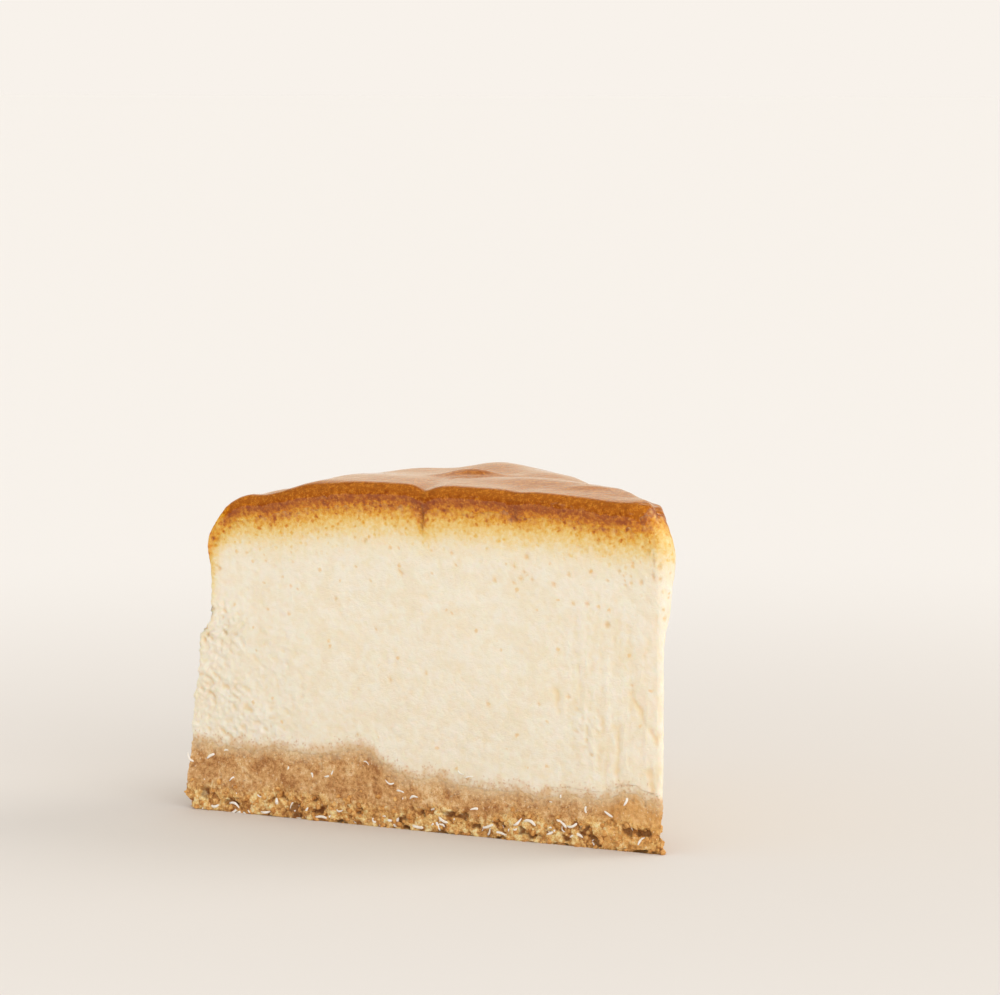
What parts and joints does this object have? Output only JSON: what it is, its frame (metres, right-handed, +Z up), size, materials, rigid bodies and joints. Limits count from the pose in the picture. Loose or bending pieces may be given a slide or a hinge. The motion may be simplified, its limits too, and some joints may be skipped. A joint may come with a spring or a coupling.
{
  "type": "baked cheesecake slice",
  "caption": "Wedge slice of tall baked cheesecake: pressed crumb base, thick cream filling with a browned, rippled glazed top.",
  "frame": {"origin": "on the surface the slice stands on, under the middle of its box", "axes": "+X from the baked outer wall towards the point, along the front cut; -Y out of the front cut face; +Z up"},
  "size_m": [0.1174, 0.0824, 0.075],
  "materials": {
    "crumb": "rough baked crumb",
    "filling": "satin cream, browned and glazed on top"
  },
  "bodies": {
    "root": {"crumb_base": "crumb", "cheese_filling": "filling"}
  },
  "joints": []
}
